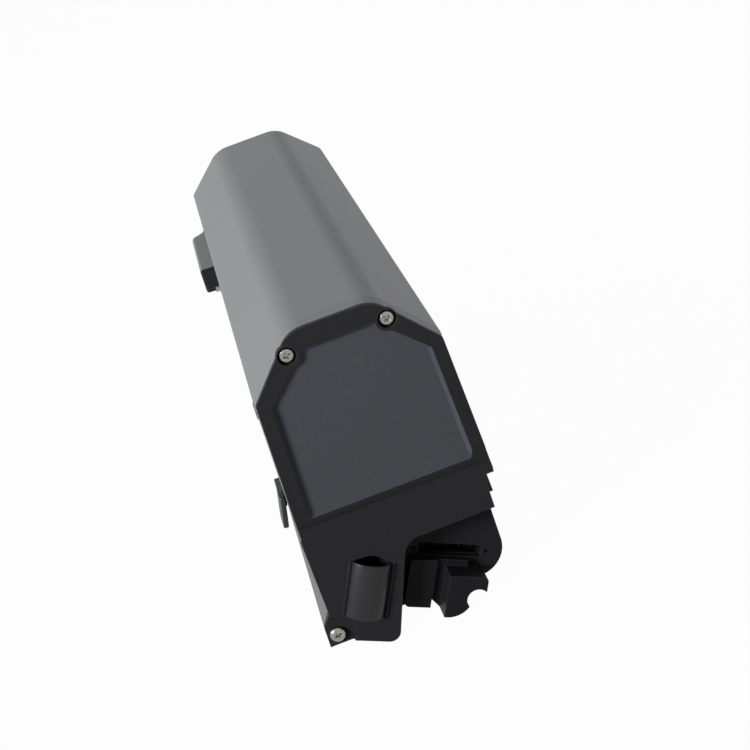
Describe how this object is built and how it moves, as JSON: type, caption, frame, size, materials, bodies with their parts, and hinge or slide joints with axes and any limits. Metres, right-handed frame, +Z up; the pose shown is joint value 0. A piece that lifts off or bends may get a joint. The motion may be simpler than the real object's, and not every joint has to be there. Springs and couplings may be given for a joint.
{
  "type": "electric bicycle battery",
  "caption": "Down tube battery with a sloped moulded cover, a black end cap, a tilted dock claw with a rod seat, side rails, a key lock and a charge port flap.",
  "frame": {"origin": "middle of the tray's flat underside", "axes": "+X to the right of someone who faces the dock end, +Y along the length away from the dock end, +Z up towards the roof of the cover"},
  "size_m": [0.1086, 0.406, 0.1671],
  "materials": {
    "cover": "fine moulded grain",
    "black": "fine moulded grain",
    "rail": "satin powder coat",
    "rubber": "matte",
    "window": "smoked",
    "board": "solder mask",
    "cell_wrap": "shrink wrap",
    "holder": "moulded",
    "nickel": "rolled",
    "foam": "open cell",
    "chips": "moulded",
    "spreader": "milled",
    "brass": "plain",
    "lead_red": "silicone",
    "lead_black": "silicone",
    "steel": "satin",
    "screw": "nickel plated"
  },
  "bodies": {
    "pack": {"shell_cover": "cover", "near_cap": "black", "lower_tray": "black", "far_cap": "black", "near_bracket": "black", "far_bracket": "black", "rail_left": "rail", "rail_right": "rail", "lock_case": "cover", "lock_insert": "black", "flap_anchor": "rubber", "charge_socket": "black", "gauge_window": "window", "gauge_board": "board", "cap_seal": "rubber", "far_seal": "rubber", "tray_seal": "rubber", "cells": "cell_wrap", "cell_holder_left": "holder", "cell_holder_right": "holder", "strips_left": "nickel", "strips_right": "nickel", "near_foam": "foam", "far_foam": "foam", "bms_board": "board", "bms_parts": "chips", "heat_spreader": "spreader", "fuse_holder": "chips", "fuse_link": "brass", "lead_plus": "lead_red", "lead_minus": "lead_black", "connector_body": "black", "contact_blades": "brass", "cap_screws": "screw", "tab_screw": "screw", "far_screws": "screw", "rail_screws": "screw", "connector_screws": "screw", "bracket_screws": "screw"},
    "flap": {"charge_flap": "rubber"},
    "barrel": {"lock_barrel": "steel"},
    "bolt": {"lock_bolt": "steel"},
    "button": {"gauge_button": "rubber"}
  },
  "joints": [
    {"name": "flap_hinge", "type": "hinge", "parent": "pack", "child": "flap", "pos_m": [-0.04858, -0.182, 0.07966], "axis": [0, 1, 0], "range_deg": [-10, 85], "stiffness_Nm_per_rad": 0.004},
    {"name": "key_turn", "type": "hinge", "parent": "pack", "child": "barrel", "pos_m": [-0.05367, 0.11, 0.10731], "axis": [-0.9992, 0, 0.0405], "range_deg": [0, 90]},
    {"name": "bolt_slide", "type": "slide", "parent": "pack", "child": "bolt", "axis": [0.0405, 0, 0.9992], "range_m": [0, 0.006]},
    {"name": "button_press", "type": "slide", "parent": "pack", "child": "button", "axis": [0.9992, 0, -0.0405], "range_m": [0, 0.001], "stiffness_N_per_m": 300}
  ],
  "couplings": [
    {"joint": "key_turn", "follows": "bolt_slide", "rad_per_m": 261.8}
  ]
}
